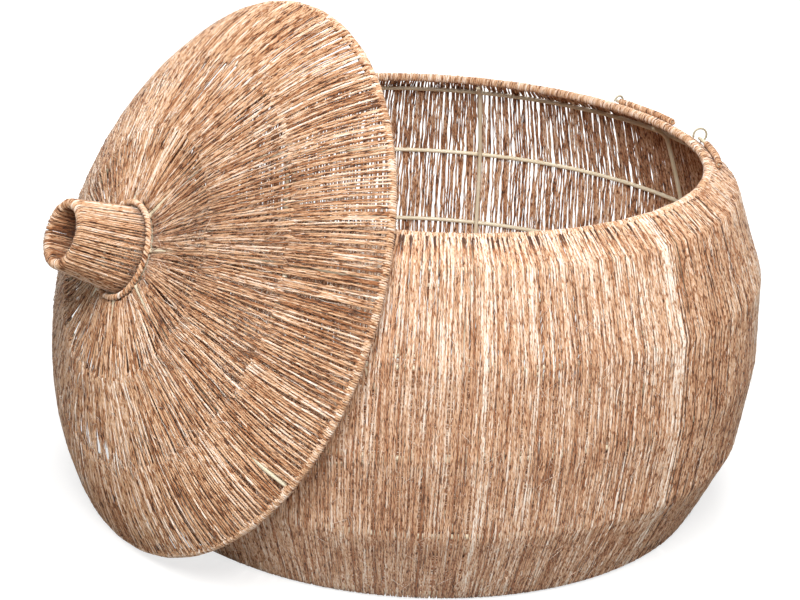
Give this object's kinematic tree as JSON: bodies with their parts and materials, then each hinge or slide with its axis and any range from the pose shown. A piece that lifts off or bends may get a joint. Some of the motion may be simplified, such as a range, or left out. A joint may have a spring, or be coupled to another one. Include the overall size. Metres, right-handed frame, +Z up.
{
  "type": "lidded storage basket",
  "caption": "Round storage basket with a domed lid and hollow knob: a painted wire frame of hoops and ribs strung with thin natural twine, with wire eyes on the rim.",
  "frame": {"origin": "centre of the base, on the surface the basket stands on", "axes": "+Z up; seen from -Y, +X is to the right, the eyes are at the back right and the lid leans on the front left"},
  "size_m": [0.5244, 0.5163, 0.367],
  "materials": {
    "twine": "matte natural fibre",
    "wire": "satin cream paint"
  },
  "bodies": {
    "basket": {"base_bar_left": "wire", "base_bar_long": "wire", "base_bar_right": "wire", "base_hoop": "wire", "base_twine": "twine", "belly_hoop": "wire", "eye_lashing_left": "twine", "eye_lashing_right": "twine", "eye_left": "wire", "eye_right": "wire", "eye_rod_left": "wire", "eye_rod_right": "wire", "lower_hoop": "wire", "rim_hoop": "wire", "rim_wrap": "twine", "shoulder_hoop": "wire", "side_rib_1": "wire", "side_rib_2": "wire", "side_rib_3": "wire", "side_rib_4": "wire", "side_rib_5": "wire", "side_rib_6": "wire", "side_rib_7": "wire", "side_rib_8": "wire", "side_rib_9": "wire", "side_twine_1": "twine", "side_twine_2": "twine", "side_twine_3": "twine", "side_twine_4": "twine", "side_twine_5": "twine", "side_twine_6": "twine", "side_twine_7": "twine", "side_twine_8": "twine", "side_twine_9": "twine", "upper_hoop": "wire"},
    "lid": {"knob_strut_1": "wire", "knob_strut_2": "wire", "knob_strut_3": "wire", "knob_strut_4": "wire", "knob_twine": "twine", "lid_inner_hoop": "wire", "lid_outer_hoop": "wire", "lid_rib_1": "wire", "lid_rib_2": "wire", "lid_rib_3": "wire", "lid_rib_4": "wire", "lid_rib_5": "wire", "lid_rib_6": "wire", "lid_rib_7": "wire", "lid_rib_8": "wire", "lid_rim_hoop": "wire", "lid_rim_wrap": "twine", "lid_twine_inner": "twine", "lid_twine_middle": "twine", "lid_twine_outer": "twine", "mouth_hoop": "wire", "neck_cord": "twine", "neck_hoop": "wire"}
  },
  "joints": [
    {"name": "lid_swing", "type": "hinge", "parent": "basket", "child": "lid", "pos_m": [0.0045, 0.00301, 0.11456], "axis": [-0.5563, 0.831, 0], "range_deg": [0, 67.67]}
  ]
}
